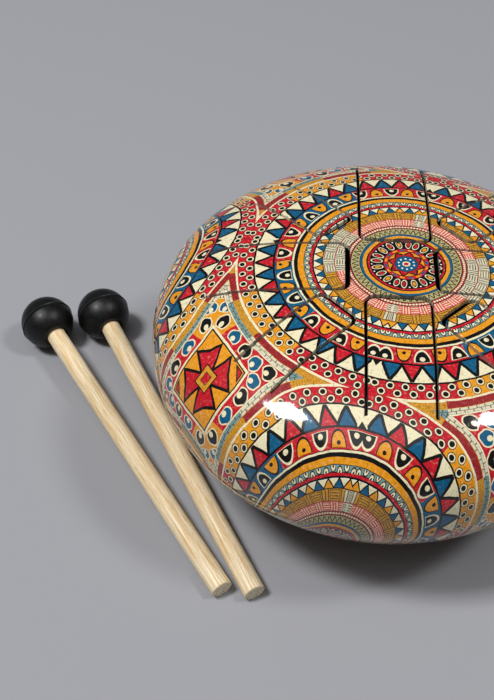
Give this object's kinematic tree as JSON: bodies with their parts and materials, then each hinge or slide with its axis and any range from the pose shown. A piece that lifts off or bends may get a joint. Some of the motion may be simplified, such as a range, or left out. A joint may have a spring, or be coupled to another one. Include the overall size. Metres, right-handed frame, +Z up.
{
  "type": "steel tongue drum with mallets",
  "caption": "Round two-shell steel tongue drum with a printed finish, free tongues cut in its domed top, rubber feet and a pair of rubber-headed mallets.",
  "frame": {"origin": "on the surface the set stands on, under the middle of the whole set's box; the drum's axis is parallel to Z at x = 0.0392, y = 0", "axes": "+Z up, along the drum's axis; +Y away from a player who has the mallets on the left; +X to that player's right"},
  "size_m": [0.2882, 0.21, 0.109],
  "materials": {
    "printed_steel": "multicoloured ring-pattern print under a thick gloss lacquer",
    "bamboo": "satin, fine lengthwise fibres",
    "head_rubber": "semi-matt moulded",
    "foot_rubber": "matt moulded"
  },
  "bodies": {
    "drum": {"top_shell": "printed_steel", "bottom_shell": "printed_steel", "rubber_foot_1": "foot_rubber", "rubber_foot_2": "foot_rubber", "rubber_foot_3": "foot_rubber", "rubber_foot_4": "foot_rubber"},
    "tongue_north": {"tongue_north": "printed_steel"},
    "tongue_northeast": {"tongue_northeast": "printed_steel"},
    "tongue_east": {"tongue_east": "printed_steel"},
    "tongue_southeast": {"tongue_southeast": "printed_steel"},
    "tongue_south": {"tongue_south": "printed_steel"},
    "tongue_southwest": {"tongue_southwest": "printed_steel"},
    "tongue_west": {"tongue_west": "printed_steel"},
    "tongue_northwest": {"tongue_northwest": "printed_steel"},
    "mallet_1": {"mallet_1_handle": "bamboo", "mallet_1_head": "head_rubber"},
    "mallet_2": {"mallet_2_handle": "bamboo", "mallet_2_head": "head_rubber"}
  },
  "joints": [
    {"name": "tongue_north_bend", "type": "hinge", "parent": "drum", "child": "tongue_north", "pos_m": [0.04791, 0.08353, 0.09834], "axis": [0.998, -0.0628, 0], "range_deg": [-1, 1], "stiffness_Nm_per_rad": 6},
    {"name": "tongue_northeast_bend", "type": "hinge", "parent": "drum", "child": "tongue_northeast", "pos_m": [0.10483, 0.05359, 0.09798], "axis": [0.6613, -0.7501, 0], "range_deg": [-1, 1], "stiffness_Nm_per_rad": 2.5},
    {"name": "tongue_east_bend", "type": "hinge", "parent": "drum", "child": "tongue_east", "pos_m": [0.12242, -0.00632, 0.09857], "axis": [-0.0628, -0.998, 0], "range_deg": [-1, 1], "stiffness_Nm_per_rad": 6},
    {"name": "tongue_southeast_bend", "type": "hinge", "parent": "drum", "child": "tongue_southeast", "pos_m": [0.09746, -0.06356, 0.09725], "axis": [-0.7501, -0.6613, 0], "range_deg": [-1, 1], "stiffness_Nm_per_rad": 2.5},
    {"name": "tongue_south_bend", "type": "hinge", "parent": "drum", "child": "tongue_south", "pos_m": [0.03768, -0.07915, 0.10031], "axis": [-0.998, 0.0628, 0], "range_deg": [-1, 1], "stiffness_Nm_per_rad": 6},
    {"name": "tongue_southwest_bend", "type": "hinge", "parent": "drum", "child": "tongue_southwest", "pos_m": [-0.02029, -0.05672, 0.09913], "axis": [-0.6613, 0.7501, 0], "range_deg": [-1, 1], "stiffness_Nm_per_rad": 2.5},
    {"name": "tongue_west_bend", "type": "hinge", "parent": "drum", "child": "tongue_west", "pos_m": [-0.04026, 0.00391, 0.10018], "axis": [0.0628, 0.998, 0], "range_deg": [-1, 1], "stiffness_Nm_per_rad": 6},
    {"name": "tongue_northwest_bend", "type": "hinge", "parent": "drum", "child": "tongue_northwest", "pos_m": [-0.01231, 0.06096, 0.10008], "axis": [0.7501, 0.6613, 0], "range_deg": [-1, 1], "stiffness_Nm_per_rad": 2.5},
    {"name": "mallet_1_lift", "type": "slide", "parent": "drum", "child": "mallet_1", "axis": [0, 0, 1], "range_m": [0, 0.12]},
    {"name": "mallet_2_draw", "type": "slide", "parent": "drum", "child": "mallet_2", "axis": [-0.4375, 0.8931, 0.1045], "range_m": [0, 0.16]}
  ]
}
